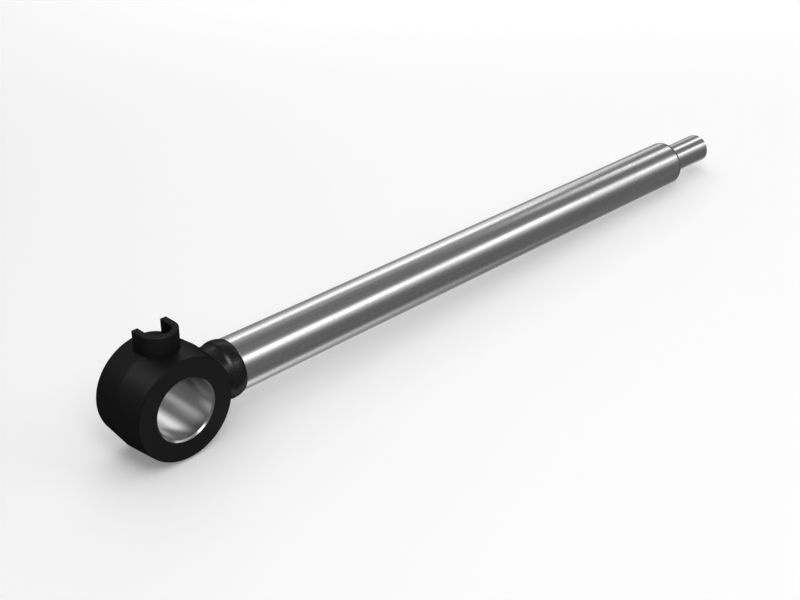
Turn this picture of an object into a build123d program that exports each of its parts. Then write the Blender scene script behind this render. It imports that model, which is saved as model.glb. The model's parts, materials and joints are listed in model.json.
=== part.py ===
from build123d import *
import os
from math import radians, sqrt, tan

# Sizes in millimetres and degrees.
# The origin is the centre of the eye's bore. X runs along the rod away from the eye,
# Y along the bore, and Z up towards the grease nipple's guard.

# Rod and its piston spigot, turned from one bar
rod_d = 50.0
shoulder_x = 718.0        # from the eye's centre to the face that the piston seats on
shoulder_chamfer = 1.5
spigot_d = 33.0
spigot_len = 70.0
spigot_chamfer = 2.5

# Forged eye: a ring with a draft each way from the parting line in the middle of its width
eye_w = 60.0
eye_face_d = 93.0
draft = 5.0
eye_edge = 0.5            # broken outer edge of each face
bore_d = 55.0
bore_chamfer = 1.5

# Round neck of the forging, which the rod is welded to
neck_d = 50.5
neck_x = 53.5             # from the eye's centre to the weld's groove

# Weld between neck and rod, up to the edges of its groove
weld_bevel = 35.0         # of each side of the groove
weld_root_d = 30.0
weld_crown = 1.7          # how far the cap stands above the rod

# Guard: a flat bar bent into a U, open away from the side with the closed bend
guard_bar = 6.0
guard_inner_r = 11.0
guard_leg = 12.0          # from the bend's centre to the legs' ends
guard_rise = 15.3         # above the crown of the eye
guard_edge = 0.4
guard_weld_leg = 3.0
guard_weld_end = 1.0      # from the weld's end to the leg's end

# Grease passage and nipple
port_d = 8.0
port_depth = 9.0          # below the seat
passage_d = 4.0
seat_d = 14.0
seat_drop = 2.5           # below the crown of the eye
nipple_thread_gap = 0.05
nipple_thread_len = 6.0
nipple_hex = 9.0          # across the flats
nipple_hex_h = 3.4
nipple_hex_chamfer = 0.6
nipple_neck_d = 4.8
nipple_neck_h = 1.8
nipple_head_d = 6.5
nipple_cone_h = 1.2       # neck to the widest part of the head
nipple_tip_d = 3.4
nipple_tip_h = 2.4        # widest part of the head to its tip
nipple_bore_d = 1.6

# What follows from them
rod_r = rod_d / 2
half_w = eye_w / 2
face_r = eye_face_d / 2
crown_r = face_r + half_w * tan(radians(draft))
neck_r = neck_d / 2
root_r = weld_root_d / 2
root_x = neck_x + (neck_r - root_r) * tan(radians(weld_bevel))
rod_bevel_x = root_x + (rod_r - root_r) * tan(radians(weld_bevel))
seat_z = crown_r - seat_drop
guard_top = crown_r + guard_rise
guard_outer_r = guard_inner_r + guard_bar


def turned_x(points):
    """A solid turned about the X axis from its outline of (x, radius) points."""
    outline = make_face(Polyline(*[(x, 0, r) for x, r in points], close=True))
    return revolve(outline, Axis.X)


def piston_rod():
    spigot_r = spigot_d / 2
    end_x = shoulder_x + spigot_len
    return turned_x([
        (root_x, 0),
        (root_x, root_r),
        (rod_bevel_x, rod_r),
        (shoulder_x - shoulder_chamfer, rod_r),
        (shoulder_x, rod_r - shoulder_chamfer),
        (shoulder_x, spigot_r),
        (end_x - spigot_chamfer, spigot_r),
        (end_x, spigot_r - spigot_chamfer),
        (end_x, 0),
    ])


def eye_blank():
    """The forged ring without bore or neck, as the guard's foot meets it."""
    edge_r = face_r + eye_edge * tan(radians(draft))
    outline = make_face(Polyline(
        (0, -half_w, 0),
        (face_r - eye_edge, -half_w, 0),
        (edge_r, eye_edge - half_w, 0),
        (crown_r, 0, 0),
        (edge_r, half_w - eye_edge, 0),
        (face_r - eye_edge, half_w, 0),
        (0, half_w, 0),
        close=True,
    ))
    return revolve(outline, Axis.Y)


def rod_eye():
    neck = turned_x([(0, 0), (0, neck_r), (neck_x, neck_r), (root_x, root_r), (root_x, 0)])
    blank = eye_blank() + neck
    bore_r = bore_d / 2
    mouth_r = bore_r + bore_chamfer
    bore = revolve(make_face(Polyline(
        (0, -half_w, 0),
        (mouth_r, -half_w, 0),
        (bore_r, bore_chamfer - half_w, 0),
        (bore_r, half_w - bore_chamfer, 0),
        (mouth_r, half_w, 0),
        (0, half_w, 0),
        close=True,
    )), Axis.Y)
    seat = Pos(0, 0, seat_z) * up_cylinder(seat_d, crown_r)
    port = Pos(0, 0, seat_z - port_depth) * up_cylinder(port_d, crown_r)
    passage = up_cylinder(passage_d, crown_r)
    return blank - bore - seat - port - passage


def up_cylinder(diameter, height):
    return Cylinder(diameter / 2, height, align=(Align.CENTER, Align.CENTER, Align.MIN))


def weld_bead():
    """The ring of weld that fills the groove and stands above neck and rod."""
    start = (neck_x, 0, neck_r)
    crest = ((neck_x + rod_bevel_x) / 2, 0, rod_r + weld_crown)
    end = (rod_bevel_x, 0, rod_r)
    outline = [
        ThreePointArc(start, crest, end),
        Polyline(end, (root_x, 0, root_r), start),
    ]
    return revolve(make_face(outline), Axis.X)


def guard_plan(radius):
    """Half-round plan with straight legs, of the guard's outside or inside."""
    return [
        ThreePointArc((-radius, 0, 0), (0, -radius, 0), (radius, 0, 0)),
        Polyline((radius, 0, 0), (radius, guard_leg, 0), (-radius, guard_leg, 0), (-radius, 0, 0)),
    ]


def nipple_guard():
    outside = extrude(make_face(guard_plan(guard_outer_r)), guard_top)
    inside = extrude(make_face(guard_plan(guard_inner_r)), guard_top)
    wall = outside - inside
    wall = chamfer(wall.faces().sort_by(Axis.Z)[-1].edges(), guard_edge)
    return wall - eye_blank()


def guard_weld(side):
    """A fillet weld along the inner foot of one leg. side is -1 or 1."""
    foot_z = sqrt(crown_r ** 2 - guard_inner_r ** 2)
    wall_x = side * guard_inner_r
    section = make_face(Polyline(
        (wall_x, 0, foot_z - guard_weld_leg),
        (wall_x, 0, foot_z + guard_weld_leg),
        (wall_x - side * guard_weld_leg, 0, foot_z),
        (wall_x - side * guard_weld_leg, 0, foot_z - guard_weld_leg),
        close=True,
    ))
    run = extrude(section, amount=guard_leg - guard_weld_end, dir=(0, 1, 0))
    return run - eye_blank()


def grease_nipple():
    thread_r = port_d / 2 - nipple_thread_gap
    hex_top = seat_z + nipple_hex_h
    neck_top = hex_top + nipple_neck_h
    widest = neck_top + nipple_cone_h
    tip = widest + nipple_tip_h
    hexagon = Pos(0, 0, seat_z) * extrude(RegularPolygon(nipple_hex / 2, 6, major_radius=False), nipple_hex_h)
    hexagon = chamfer(hexagon.faces().sort_by(Axis.Z)[-1].edges(), nipple_hex_chamfer)
    stem = revolve(make_face(Polyline(
        (0, 0, seat_z - nipple_thread_len),
        (thread_r, 0, seat_z - nipple_thread_len),
        (thread_r, 0, seat_z),
        (nipple_neck_d / 2, 0, seat_z),
        (nipple_neck_d / 2, 0, neck_top),
        (nipple_head_d / 2, 0, widest),
        (nipple_tip_d / 2, 0, tip),
        (0, 0, tip),
        close=True,
    )), Axis.Z)
    grease_hole = Pos(0, 0, seat_z - nipple_thread_len) * up_cylinder(nipple_bore_d, tip)
    return hexagon + stem - grease_hole


nodes = {
    "piston_rod": piston_rod(),
    "rod_eye": rod_eye(),
    "weld_bead": weld_bead(),
    "nipple_guard": nipple_guard(),
    "guard_weld_left": guard_weld(-1),
    "guard_weld_right": guard_weld(1),
    "grease_nipple": grease_nipple(),
}

os.makedirs("parts", exist_ok=True)
for name, solid in nodes.items():
    export_step(solid, f"parts/{name}.step")
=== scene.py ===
import json
from math import asin, atan2, cos, hypot, pi, radians, sin

import bpy
from mathutils import Matrix, Vector

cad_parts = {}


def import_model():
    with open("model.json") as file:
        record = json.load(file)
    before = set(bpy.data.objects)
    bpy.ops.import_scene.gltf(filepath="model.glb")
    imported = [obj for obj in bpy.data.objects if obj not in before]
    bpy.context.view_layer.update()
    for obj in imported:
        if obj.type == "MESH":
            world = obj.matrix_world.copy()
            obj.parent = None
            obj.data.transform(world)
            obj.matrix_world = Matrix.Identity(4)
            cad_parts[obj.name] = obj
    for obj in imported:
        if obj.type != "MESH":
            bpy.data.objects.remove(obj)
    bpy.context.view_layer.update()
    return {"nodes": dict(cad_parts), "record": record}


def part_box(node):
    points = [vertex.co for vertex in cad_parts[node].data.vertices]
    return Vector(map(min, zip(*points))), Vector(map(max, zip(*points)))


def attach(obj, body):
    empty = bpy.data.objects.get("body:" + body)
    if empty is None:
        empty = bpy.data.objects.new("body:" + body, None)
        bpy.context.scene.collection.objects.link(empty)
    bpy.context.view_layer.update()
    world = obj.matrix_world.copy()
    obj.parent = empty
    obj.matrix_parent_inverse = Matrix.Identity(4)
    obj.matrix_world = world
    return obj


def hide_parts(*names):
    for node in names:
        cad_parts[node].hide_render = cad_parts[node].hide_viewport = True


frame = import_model()
nodes = frame["nodes"]

# Sizes in metres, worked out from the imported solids
rod_low, rod_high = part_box("piston_rod")
weld_low, weld_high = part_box("weld_bead")
eye_low, eye_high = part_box("rod_eye")
mounts = {mount["name"]: mount for mount in frame["record"]["mounts"]}
same_place = 0.00001      # corners nearer than this along an axis are in one ring


def mount_radius(name):
    return mounts[name]["dims"]["r_mm"] / 1000


def mount_length(name):
    return mounts[name]["dims"]["length_mm"] / 1000


def radius_at(node, x):
    """The solid's radius about the rod's axis at a place along it."""
    ring = [corner.co for corner in nodes[node].data.vertices if abs(corner.co.x - x) < same_place]
    return max(hypot(corner.y, corner.z) for corner in ring)


def rim_radius(y):
    """The eye's radius about its bore's axis at a place along it."""
    ring = [corner.co for corner in nodes["rod_eye"].data.vertices if abs(corner.co.y - y) < same_place]
    return max(hypot(corner.x, corner.z) for corner in ring)


rod_r = mount_radius("rod_surface")
spigot_r = mount_radius("piston_spigot")
bore_r = mount_radius("eye_bore")
rod_end_x = mounts["rod_surface"]["pos_m"][0] + mount_length("rod_surface") / 2
shoulder_x = mounts["piston_seat"]["pos_m"][0]
shoulder_chamfer = shoulder_x - rod_end_x
spigot_chamfer = rod_high.x - mounts["piston_spigot"]["pos_m"][0] - mount_length("piston_spigot") / 2
neck_r = radius_at("weld_bead", weld_low.x)
weld_width = weld_high.x - weld_low.x
crown_r = -eye_low.z
half_w = eye_high.y
face_rim = rim_radius(half_w)
mouth_r = bore_r + (2 * half_w - mount_length("eye_bore")) / 2


# Node helpers

def new_material(name):
    material = bpy.data.materials.new(name)
    material.use_nodes = True
    shader = material.node_tree.nodes["Principled BSDF"]
    return material, material.node_tree, shader


def add(tree, kind, inputs=(), **settings):
    """A node of that kind, with its settings made and its inputs set or linked."""
    node = tree.nodes.new(kind)
    for key, value in settings.items():
        setattr(node, key, value)
    for key, value in dict(inputs).items():
        if isinstance(value, bpy.types.NodeSocket):
            tree.links.new(value, node.inputs[key])
        else:
            node.inputs[key].default_value = value
    return node


def place(tree):
    """The place on the object, in the shared frame, in metres."""
    return add(tree, "ShaderNodeTexCoord").outputs["Object"]


def parted(tree, at):
    """The X, Y and Z of a place."""
    return add(tree, "ShaderNodeSeparateXYZ", {"Vector": at}).outputs


def noise(tree, at, scale, detail=3.0, rough=0.55):
    inputs = {"Vector": at, "Scale": scale, "Detail": detail, "Roughness": rough}
    return add(tree, "ShaderNodeTexNoise", inputs).outputs["Fac"]


def streaks(tree, at, scales, detail):
    """A noise with its own scale along X, Y and Z."""
    stretched = add(tree, "ShaderNodeMapping", {"Vector": at, "Scale": scales}).outputs["Vector"]
    return noise(tree, stretched, 1.0, detail)


def ramp(tree, value, low, high, to_low=0.0, to_high=1.0, smooth=True):
    inputs = {"Value": value, "From Min": low, "From Max": high, "To Min": to_low, "To Max": to_high}
    kind = "SMOOTHSTEP" if smooth else "LINEAR"
    return add(tree, "ShaderNodeMapRange", inputs, interpolation_type=kind).outputs["Result"]


def calc(tree, operation, a, b=0.0, c=0.0):
    return add(tree, "ShaderNodeMath", {0: a, 1: b, 2: c}, operation=operation).outputs["Value"]


def product(tree, *values):
    made = values[0]
    for value in values[1:]:
        made = calc(tree, "MULTIPLY", made, value)
    return made


def distance(tree, a, b):
    """The length of the two sides a and b together."""
    squares = calc(tree, "ADD", calc(tree, "POWER", a, 2.0), calc(tree, "POWER", b, 2.0))
    return calc(tree, "SQRT", squares)


def mixed(tree, share, a, b):
    """Colour a turning into b, through the mix node's colour sockets, which go by number."""
    node = add(tree, "ShaderNodeMix", data_type="RGBA")
    factor, first, second = node.inputs[0], node.inputs[6], node.inputs[7]
    for socket, value in ((factor, share), (first, a), (second, b)):
        if isinstance(value, bpy.types.NodeSocket):
            tree.links.new(value, socket)
        else:
            socket.default_value = value
    return node.outputs[2]


def bump(tree, height, depth):
    return add(tree, "ShaderNodeBump", {"Height": height, "Distance": depth}).outputs["Normal"]


def link(tree, output, shader, name):
    tree.links.new(output, shader.inputs[name])


def grey(value):
    return (value, value, value, 1.0)


# Finishes: greys are linear, noise scales are per metre, lengths and depths are in metres.
# A pair holds the values at the low and at the high end of what drives it.

noise_span = (0.30, 0.70)       # where nearly all of a noise lies

chrome_span = (0.35, 0.65)
chrome_greys = (0.54, 0.67)
chrome_roughs = (0.26, 0.18)
fine_lines = (8.0, 900.0, 900.0)
broad_lines = (4.0, 260.0, 260.0)
chrome_cloud = 300.0
chrome_cloud_rough = 0.70
broad_share = 0.6               # of the broad lines in the chrome's tone, the rest is its cloud
line_depth = 0.00002
dull_band = 0.0026              # length of a dull band beside the shoulder's chamfer
dull_fade = 0.0002
dull_tone = 0.24
dull_rough = 0.60


def chrome_material():
    """Polished hard chrome with fine lines along the rod, and a dull band beside the shoulder's edge."""
    material, tree, shader = new_material("chrome")
    at = place(tree)
    fine = streaks(tree, at, fine_lines, detail=4.0)
    broad = streaks(tree, at, broad_lines, detail=3.0)
    cloud = noise(tree, at, chrome_cloud, detail=4.0, rough=chrome_cloud_rough)
    clouded = product(tree, cloud, 1 - broad_share)
    tone = calc(tree, "ADD", product(tree, broad, broad_share), clouded)
    x = parted(tree, at)["X"]
    band_start = rod_end_x - dull_band
    past_start = ramp(tree, x, band_start - dull_fade, band_start)
    before_end = ramp(tree, x, shoulder_x, shoulder_x - dull_fade / 2)
    dull = product(tree, past_start, before_end)
    colour = mixed(tree, ramp(tree, tone, *chrome_span), *map(grey, chrome_greys))
    rough = ramp(tree, tone, *chrome_span, *chrome_roughs)
    shader.inputs["Metallic"].default_value = 1.0
    link(tree, mixed(tree, dull, colour, grey(dull_tone)), shader, "Base Color")
    link(tree, mixed(tree, dull, rough, grey(dull_rough)), shader, "Roughness")
    link(tree, bump(tree, fine, line_depth), shader, "Normal")
    return material


faced_greys = (0.42, 0.62)
faced_roughs = (0.34, 0.22)
ring_scale = 480.0
ring_depth = 0.00003


def faced_material():
    """Turned steel of the rod's flat faces, with rings round the axis."""
    material, tree, shader = new_material("faced_steel")
    split = parted(tree, place(tree))
    radius = distance(tree, split["Y"], split["Z"])
    outward = add(tree, "ShaderNodeCombineXYZ", {"X": radius}).outputs["Vector"]
    rings = noise(tree, outward, ring_scale, detail=5.0)
    shader.inputs["Metallic"].default_value = 1.0
    colour = mixed(tree, ramp(tree, rings, *noise_span), *map(grey, faced_greys))
    link(tree, colour, shader, "Base Color")
    link(tree, ramp(tree, rings, *noise_span, *faced_roughs), shader, "Roughness")
    link(tree, bump(tree, rings, ring_depth), shader, "Normal")
    return material


paint_greys = (0.0075, 0.0100)
paint_roughs = (0.40, 0.48)
dimple_scale = 700.0
dimple_share = 0.15             # of the dimples in the paint's height, against its swells
swell_scale = 70.0
paint_depth = 0.00008
paint_gloss = 0.60
paint_falloff = 3.0
crown_painted_shade = 0.65               # painted shade: share of the paint's colour on curved outsides, against the flat faces
guard_polish = -0.08
weld_polish = 0.16


def dulled(tree, shader, gloss):
    """Less gloss towards low angles, where the real paint stays black."""
    facing = add(tree, "ShaderNodeLayerWeight").outputs["Facing"]
    square_on = calc(tree, "SUBTRACT", 1.0, facing)
    level = product(tree, calc(tree, "POWER", square_on, paint_falloff), gloss)
    link(tree, level, shader, "Specular IOR Level")


def paint_nodes(tree, at, tone=1.0):
    """Colour, roughness and height of the satin black paint over forged steel."""
    dimples = noise(tree, at, dimple_scale, detail=2.0)
    swells = noise(tree, at, swell_scale)
    # A tone below 1 darkens the paint's colour, which the guard uses as painted shade.
    colour = mixed(tree, swells, *(grey(level * tone) for level in paint_greys))
    rough = ramp(tree, dimples, *noise_span, *paint_roughs)
    height = calc(tree, "ADD", product(tree, dimples, dimple_share), swells)
    return colour, rough, height


def paint_material(name, polish, tone=1.0):
    """The black paint, with its roughness lowered by the polish and its colour darkened by the tone, a
    painted shade where that is below 1.
    """
    material, tree, shader = new_material(name)
    colour, rough, height = paint_nodes(tree, place(tree), tone)
    dulled(tree, shader, paint_gloss)
    link(tree, colour, shader, "Base Color")
    link(tree, calc(tree, "SUBTRACT", rough, polish), shader, "Roughness")
    link(tree, bump(tree, height, paint_depth), shader, "Normal")
    return material


eye_depth = 0.00004
eye_edge = 0.0005               # width of the broken edges of the eye's faces
edge_gloss = 0.12               # on those edges, where the paint is dull
skin = 0.00005                  # how close to an edge one finish gives way to the next
hair = 0.00002                  # the same, beside the broken edges
neck_from = (0.042, 0.050)      # where the ring's paint turns into the neck's, along X
neck_polish = 0.15
bare_grey = 0.50
bare_roughs = (0.22, 0.27)
bore_marks = (40.0, 2000.0, 40.0)
mark_share = 0.12               # height of the bore's marks, against the paint's


def eye_material():
    """Black paint outside, darker on the ring's curved outsides as painted shade, and bare machined steel in
    the bore and its mouths.
    """
    material, tree, shader = new_material("painted_eye")
    at = place(tree)
    split = parted(tree, at)
    radius = distance(tree, split["X"], split["Z"])
    sideways = calc(tree, "ABSOLUTE", split["Y"])
    bare = ramp(tree, radius, mouth_r - 2 * skin, mouth_r - skin, 1.0, 0.0)
    on_face = ramp(tree, sideways, half_w - 2 * skin, half_w - skin)
    on_neck = ramp(tree, split["X"], *neck_from)
    on_rim = ramp(tree, radius, face_rim - hair, face_rim, smooth=False)
    beside_face = ramp(tree, sideways, half_w - eye_edge - hair, half_w - eye_edge, smooth=False)
    on_edge = product(tree, on_rim, beside_face)
    marks = streaks(tree, at, bore_marks, detail=3.0)

    colour, rough, height = paint_nodes(tree, at)
    # Painted shade: the ring's curved outsides get a darker paint colour than its flat faces and its neck.
    flat_or_neck = calc(tree, "MAXIMUM", on_face, on_neck)
    tone = ramp(tree, flat_or_neck, 0.0, 1.0, crown_painted_shade, 1.0)
    painted = mixed(tree, tone, grey(0.0), colour)
    painted_rough = calc(tree, "SUBTRACT", rough, product(tree, on_neck, neck_polish))
    bare_rough = ramp(tree, marks, *noise_span, *bare_roughs)
    heights = mixed(tree, bare, height, product(tree, marks, mark_share))
    dulled(tree, shader, ramp(tree, on_edge, 0.0, 1.0, paint_gloss, edge_gloss, smooth=False))
    link(tree, mixed(tree, bare, painted, grey(bare_grey)), shader, "Base Color")
    link(tree, bare, shader, "Metallic")
    link(tree, mixed(tree, bare, painted_rough, bare_rough), shader, "Roughness")
    link(tree, bump(tree, heights, eye_depth), shader, "Normal")
    return material


plated_dark = (0.55, 0.54, 0.50, 1.0)
plated_light = (0.66, 0.66, 0.64, 1.0)
plated_roughs = (0.25, 0.40)
plated_cloud = 400.0
plated_depth = 0.00002


def nipple_material():
    """Zinc plate with a slight yellow cloud."""
    material, tree, shader = new_material("plated_steel")
    cloud = noise(tree, place(tree), plated_cloud)
    shader.inputs["Metallic"].default_value = 1.0
    link(tree, mixed(tree, cloud, plated_dark, plated_light), shader, "Base Color")
    link(tree, ramp(tree, cloud, *noise_span, *plated_roughs), shader, "Roughness")
    link(tree, bump(tree, cloud, plated_depth), shader, "Normal")
    return material


chrome = chrome_material()
faced = faced_material()
# The guard's paint is darker all over, with the same painted shade as the ring's curved outsides.
guard_paint = paint_material("guard_paint", guard_polish, crown_painted_shade)
weld_paint = paint_material("weld_paint", weld_polish)
eye_finish = eye_material()
plated = nipple_material()


# Pieces

def dress(node, material):
    mesh = nodes[node].data
    mesh.materials.clear()
    mesh.materials.append(material)


sharp_angle = radians(35.0)     # an edge that turns by more stays crisp


def piece(name, corners, faces, material, slot, node):
    """A mesh that stands for a solid, shaded smooth but for its sharp edges."""
    mesh = bpy.data.meshes.new(name)
    mesh.from_pydata(corners, [], faces)
    mesh.polygons.foreach_set("use_smooth", [True] * len(mesh.polygons))
    mesh.set_sharp_from_angle(angle=sharp_angle)
    mesh.materials.append(material)
    made = bpy.data.objects.new(name, mesh)
    bpy.context.scene.collection.objects.link(made)
    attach(made, "root")
    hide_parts(node)
    return made


def turned(rings, steps, swell=None, closed=False):
    """Corners and faces of a surface turned about the X axis, from its (x, radius) rings.

    A closed surface joins its last ring to its first. What swell(x, angle) gives is
    added to the radius there."""
    corners = []
    starts = []
    for x, r in rings:
        starts.append(len(corners))
        if r == 0.0:
            corners.append((x, 0.0, 0.0))
            continue
        for step in range(steps):
            angle = 2 * pi * step / steps
            here = r + (swell(x, angle) if swell else 0.0)
            corners.append((x, -sin(angle) * here, cos(angle) * here))
    faces = []
    for index in range(len(rings) - (0 if closed else 1)):
        after = (index + 1) % len(rings)
        near, far = starts[index], starts[after]
        for step in range(steps):
            turn = (step + 1) % steps
            if rings[index][1] == 0.0:
                faces.append((near, far + turn, far + step))
            elif rings[after][1] == 0.0:
                faces.append((far, near + step, near + turn))
            else:
                faces.append((near + step, near + turn, far + turn, far + step))
    return corners, faces


round_steps = 256
bend_steps = 4
edge_r = 0.00015          # of the broken edges of turned steel
square_to_axis = 0.99     # least X of a flat face's normal


def broken(points, radius):
    """The outline with each inner corner rounded, and a ring beside each rounding to keep the flats flat."""
    made = [points[0]]
    for before, corner, after in zip(points, points[1:], points[2:]):
        tip = Vector(corner)
        toward = (Vector(before) - tip).normalized() * radius
        away = (Vector(after) - tip).normalized() * radius
        back = tip + toward
        front = tip + away
        made.append(tuple(back + toward))
        for step in range(bend_steps + 1):
            share = step / bend_steps
            bend = back.lerp(tip, share).lerp(tip.lerp(front, share), share)
            made.append(tuple(bend))
        made.append(tuple(front + away))
    made.append(points[-1])
    return made


def rod():
    """The bar with its bevel under the weld, the chamfered shoulder and the spigot."""
    outline = [
        (rod_low.x, 0.0),
        (rod_low.x, radius_at("piston_rod", rod_low.x)),
        (weld_high.x, rod_r),
        (rod_end_x, rod_r),
        (shoulder_x, rod_r - shoulder_chamfer),
        (shoulder_x, spigot_r),
        (rod_high.x - spigot_chamfer, spigot_r),
        (rod_high.x, spigot_r - spigot_chamfer),
        (rod_high.x, 0.0),
    ]
    mesh = turned(broken(outline, edge_r), round_steps)
    made = piece("rod", *mesh, chrome, "chrome", "piston_rod")
    made.data.materials.append(faced)
    for side in made.data.polygons:
        side.material_index = 1 if abs(side.normal.x) > square_to_axis else 0


weld_steps = 360
cap_steps = 64
crest_share = 0.42        # where the cap is highest, from the neck to the rod
neck_power = 3.0          # how full the cap is beside the neck
rod_power = 2.2           # and beside the rod
toe_share = -0.11         # where the cap's toe ends, past the groove's edge on the neck
toe_hollow = 0.0009       # how far the hollow at the toe reaches up and down its flank
weld_under = 0.0003       # how far the cap's edges reach below the steel
ripple_count = 58
ripple_height = 0.00006
ripple_lag = 0.16         # how far a ripple's ends trail its middle, in radians
ripple_level = 0.75       # middle of the ripples' height, of the highest
ripple_wander = ((0.35, 3, 1.0), (0.25, 7, 0.0))     # uneven spacing: size, waves and start
ripple_patches = ((0.25, 5, 2.0),)                   # uneven height, in the same way


def waves(angle, terms):
    return sum(size * sin(count * angle + start) for size, count, start in terms)


def cap_radius(share):
    """Radius of the weld's cap at a share of its width, hollow where it runs out on the neck."""
    flat = neck_r + (rod_r - neck_r) * share
    crest = weld_high.z - (neck_r + rod_r) / 2
    if share >= crest_share:
        return flat + crest * (1 - ((share - crest_share) / (1 - crest_share)) ** rod_power)
    arch = crest * (1 - ((crest_share - share) / crest_share) ** neck_power)
    blend = max(toe_hollow - abs(arch), 0.0) / toe_hollow
    return flat + max(arch, 0.0) + blend * blend * toe_hollow / 4


def ripple(x, angle):
    """Height of the weld's ripples: curved steps that the pass leaves around the rod."""
    across = 2 * (x - weld_low.x) / weld_width - 1
    if abs(across) >= 1.0:
        return 0.0
    lag = ripple_lag * across * across
    wave = sin(ripple_count * (angle + lag) + waves(angle, ripple_wander))
    patchy = ripple_level + waves(angle, ripple_patches)
    return ripple_height * (1 - across * across) * (1 + wave) / 2 * patchy


def weld():
    """The weld's cap, from a thin toe on the neck to a crisp edge on the rod."""
    shares = [toe_share + (1 - toe_share) * step / cap_steps for step in range(cap_steps + 1)]
    rings = [(weld_low.x + weld_width * share, cap_radius(share)) for share in shares]
    rings.append((rings[-1][0], rod_r - weld_under))
    rings.append((rings[0][0], neck_r - weld_under))
    mesh = turned(rings, weld_steps, ripple, closed=True)
    piece("weld", *mesh, weld_paint, "black_paint", "weld_bead")


rod()
weld()
dress("rod_eye", eye_finish)
dress("nipple_guard", guard_paint)
dress("guard_weld_left", weld_paint)
dress("guard_weld_right", weld_paint)
dress("grease_nipple", plated)


# Stage

floor_tilt = asin(crown_r / hypot(rod_end_x, rod_r)) - atan2(rod_r, rod_end_x)
floor_turn = Matrix.Rotation(-floor_tilt, 4, "Y")
floor_place = floor_turn @ Matrix.Translation((0.0, 0.0, -crown_r))
floor_r = 30.0
floor_steps = 96
floor_grey = 0.85
floor_rough = 0.9
glow_reach = (0.6, 3.2)         # from the middle of the rod, where the floor's glow starts and is full
glow_levels = (0.2, 0.8)
world_level = 0.21


def seen(tree):
    """1 for what the camera sees straight, or by mirror or glass, and 0 for light."""
    rays = add(tree, "ShaderNodeLightPath").outputs
    straight_or_mirror = calc(tree, "MAXIMUM", rays["Is Camera Ray"], rays["Is Glossy Ray"])
    return calc(tree, "MAXIMUM", straight_or_mirror, rays["Is Transmission Ray"])


def glowing(name, colour):
    """A stage material of a plain colour that also glows white."""
    material, tree, shader = new_material(name)
    shader.inputs["Base Color"].default_value = grey(colour)
    shader.inputs["Specular IOR Level"].default_value = 0.0
    shader.inputs["Emission Color"].default_value = grey(1.0)
    return material, tree, shader


def floor():
    """The plane that the eye's crown and the rod's far end rest on."""
    bpy.ops.mesh.primitive_circle_add(vertices=floor_steps, radius=floor_r, fill_type="NGON")
    plane = bpy.context.object
    plane.name = "floor"
    plane.matrix_world = floor_place
    material, tree, shader = glowing("floor", floor_grey)
    shader.inputs["Roughness"].default_value = floor_rough
    split = parted(tree, place(tree))
    ahead = calc(tree, "SUBTRACT", split["X"], rod_end_x / 2)
    glow = ramp(tree, distance(tree, ahead, split["Y"]), *glow_reach, *glow_levels)
    link(tree, product(tree, seen(tree), glow), shader, "Emission Strength")
    plane.data.materials.append(material)


def world():
    surroundings = bpy.data.worlds.new("studio")
    surroundings.use_nodes = True
    background = surroundings.node_tree.nodes["Background"]
    background.inputs["Color"].default_value = grey(1.0)
    background.inputs["Strength"].default_value = world_level
    bpy.context.scene.world = surroundings


card_lift = 0.001
card_side = 60.0
# Glow strengths of the ground card, which the metal shows as the floor's reflection
front_tone = 0.17
back_tone = 0.38
eye_tone = 0.03
edge_tones = (1.08, 0.84)       # under the rod, at the two ends of edge_x
patch_tone = 1.40

# Places on the card, as where each of its regions fades in, or out where the first is the larger
behind_x = (0.14, 0.24)
behind_y = (0.02, 0.10)
under_x = (0.05, 0.09)
under_y = (0.06, 0.015)
rise_from = (-0.024, 0.006)     # y at the eye and its slope along x, where the light under the rod starts
rise_to = (0.014, -0.030)       # and where it is full
edge_x = (0.2, 0.7)
eye_from_x = (-0.08, 0.0)
eye_to_x = (0.16, 0.10)
eye_from_y = (-0.02, 0.03)
eye_to_y = (0.25, 0.12)
patch_x = (0.03, 0.06)
patch_fade_x = (0.80, 0.0)
patch_fade_power = 3.0
patch_from_y = (-0.055, -0.035)
patch_to_y = (-0.016, -0.032)


def card_glow(tree, x, y):
    """Glow of the ground card: dark in front and round the eye, bright close under the rod, grey behind."""
    behind = product(tree, ramp(tree, y, *behind_y), ramp(tree, x, *behind_x))
    eye_x = product(tree, ramp(tree, x, *eye_to_x), ramp(tree, x, *eye_from_x))
    eye_y = product(tree, ramp(tree, y, *eye_to_y), ramp(tree, y, *eye_from_y))
    round_eye = product(tree, eye_x, eye_y)
    dark = ramp(tree, round_eye, 0.0, 1.0, front_tone, eye_tone, smooth=False)
    beyond = calc(tree, "MULTIPLY_ADD", behind, back_tone - front_tone, dark)

    along = calc(tree, "MINIMUM", x, rod_end_x)
    start_y, full_y = (calc(tree, "MULTIPLY_ADD", along, slope, y0) for y0, slope in (rise_from, rise_to))
    rising = ramp(tree, y, start_y, full_y)
    under = product(tree, rising, ramp(tree, y, *under_y), ramp(tree, x, *under_x))
    edge = calc(tree, "SUBTRACT", ramp(tree, x, *edge_x, *edge_tones), front_tone)
    lit = calc(tree, "MULTIPLY_ADD", under, edge, beyond)

    fading = calc(tree, "POWER", ramp(tree, x, *patch_fade_x, smooth=False), patch_fade_power)
    lengthwise = product(tree, ramp(tree, x, *patch_x), fading)
    crosswise = product(tree, ramp(tree, y, *patch_from_y), ramp(tree, y, *patch_to_y))
    patch = product(tree, lengthwise, crosswise)
    return calc(tree, "MULTIPLY_ADD", patch, patch_tone, lit)


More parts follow.
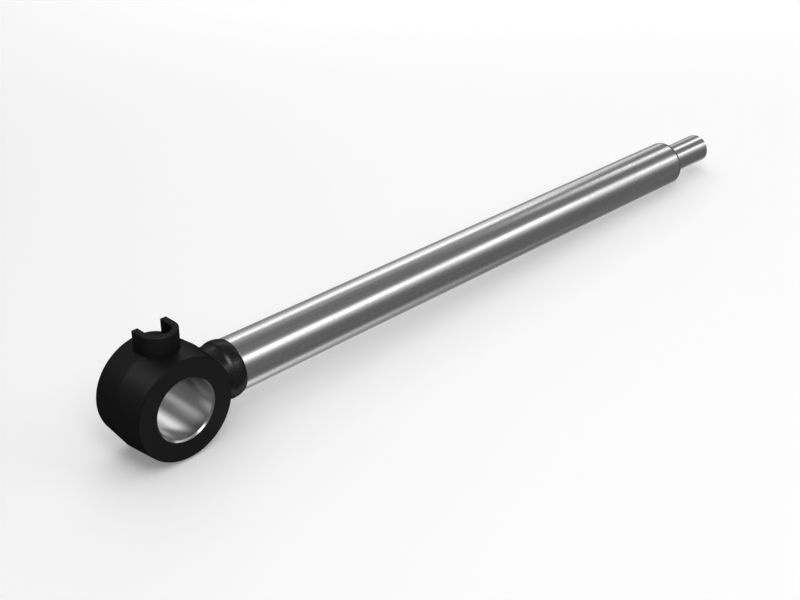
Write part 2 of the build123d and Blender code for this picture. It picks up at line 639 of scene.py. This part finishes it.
def ground_card():
    """A black card on the floor that glows in greys and only mirrors see, as polished metal is photographed.
    """
    bpy.ops.mesh.primitive_plane_add(size=card_side)
    card = bpy.context.object
    card.name = "ground_card"
    card.matrix_world = floor_place @ Matrix.Translation((0.0, 0.0, card_lift))
    material, tree, shader = glowing("ground_card", 0.0)
    split = parted(tree, place(tree))
    link(tree, card_glow(tree, split["X"], split["Y"]), shader, "Emission Strength")
    card.data.materials.append(material)
    card.visible_camera = False
    card.visible_diffuse = False
    card.visible_shadow = False


def beside_rod(x, angle, reach):
    """A place beside the rod's axis. The angle is about the axis, from above towards -Y."""
    return Vector((x, -sin(radians(angle)) * reach, cos(radians(angle)) * reach))


def soft_edges(tree, along, across):
    """1 in a lamp's middle, falling to 0 at its edges over those shares of its sides."""
    side = add(tree, "ShaderNodeNewGeometry").outputs["Parametric"]
    split = parted(tree, side)
    shares = []
    for axis, edge in (("X", along), ("Y", across)):
        inward = calc(tree, "MINIMUM", split[axis], calc(tree, "SUBTRACT", 1.0, split[axis]))
        shares.append(ramp(tree, inward, 0.0, edge))
    return product(tree, *shares)


def hung(name, lamp):
    """The lamp's object, which the camera doesn't see."""
    holder = bpy.data.objects.new(name, lamp)
    bpy.context.scene.collection.objects.link(holder)
    holder.visible_camera = False
    return holder


def softbox(name, start, end, width, radiance, edges, reach=1.6):
    """A long soft lamp beside the rod, from one (x, angle) place to another, facing the rod."""
    first = beside_rod(*start, reach)
    last = beside_rod(*end, reach)
    middle = (first + last) / 2
    along = (last - first).normalized()
    away = Vector((0.0, middle.y, middle.z))
    out = (away - along * away.dot(along)).normalized()
    across = out.cross(along)
    length = (last - first).length
    lamp = bpy.data.lights.new(name, "AREA")
    lamp.shape = "RECTANGLE"
    lamp.size = length
    lamp.size_y = width
    lamp.energy = radiance * pi * length * width
    lamp.use_nodes = True
    tree = lamp.node_tree
    tree.links.new(soft_edges(tree, *edges), tree.nodes["Emission"].inputs["Strength"])
    holder = hung(name, lamp)
    turn = Matrix((along, across, out)).transposed()
    holder.matrix_world = Matrix.Translation(middle) @ turn.to_4x4()
    return holder


top_height = 2.5
top_side = 3.0
top_radiance = 1.0


def top_light():
    """A broad lamp overhead that lifts the floor and the paint to a plain level and shows in no mirror."""
    lamp = bpy.data.lights.new("top_light", "AREA")
    lamp.size = top_side
    lamp.energy = top_radiance * pi * top_side * top_side
    holder = hung("top_light", lamp)
    holder.location = (rod_end_x / 2, 0.0, top_height)
    holder.visible_glossy = False


floor()
world()
ground_card()
softbox("front_strip", (0.3, 55.4), (3.6, 46.0), width=0.80, radiance=2.2, edges=(0.15, 0.5))
softbox("front_fill", (0.3, 65.5), (3.6, 64.0), width=0.90, radiance=0.5, edges=(0.15, 0.5))
softbox("back_box", (-0.15, -47.0), (2.6, -45.0), width=1.00, radiance=2.0, edges=(0.32, 0.5))
softbox("back_low_box", (0.3, -66.0), (4.2, -68.0), width=1.00, radiance=0.95, edges=(0.45, 0.5))
softbox("back_fill", (0.4, -21.0), (2.2, -21.0), width=0.70, radiance=0.25, edges=(0.3, 0.5))
softbox("left_box", (-1.8, -58.0), (-0.4, -54.0), width=0.80, radiance=0.7, edges=(0.5, 0.5))
softbox("toe_box", (-0.8, 38.0), (0.1, 38.0), width=1.50, radiance=5.0, edges=(0.4, 0.4))
eye_box = softbox("eye_box", (-0.20, -29.0), (0.0, -29.0), width=0.18, radiance=1.4,
                  edges=(0.5, 0.5), reach=0.16)
eye_box.visible_diffuse = False
softbox("end_box", (1.8, -12.0), (4.4, -12.0), width=0.90, radiance=2.1, edges=(0.38, 0.5))
top_light()


# Camera at the photograph's place

camera_at = Vector((-0.49105, -0.76076, 0.5644))
camera_azimuth = radians(45.2489)
camera_drop = radians(28.2055)
focal_px = 1266.15
image_px = 800.0
sensor_mm = 36.0


def camera():
    lens = bpy.data.cameras.new("camera")
    lens.sensor_width = sensor_mm
    lens.lens = focal_px / image_px * sensor_mm
    lens.clip_start = 0.01
    holder = bpy.data.objects.new("camera", lens)
    bpy.context.scene.collection.objects.link(holder)
    level = Vector((sin(camera_azimuth), cos(camera_azimuth), 0.0))
    ahead = level * cos(camera_drop) - Vector((0.0, 0.0, sin(camera_drop)))
    right = Vector((cos(camera_azimuth), -sin(camera_azimuth), 0.0))
    up = right.cross(ahead)
    turn = Matrix((right, up, -ahead)).transposed()
    holder.matrix_world = Matrix.Translation(camera_at) @ turn.to_4x4()
    bpy.context.scene.camera = holder


camera()
bpy.context.scene.view_settings.view_transform = "Standard"
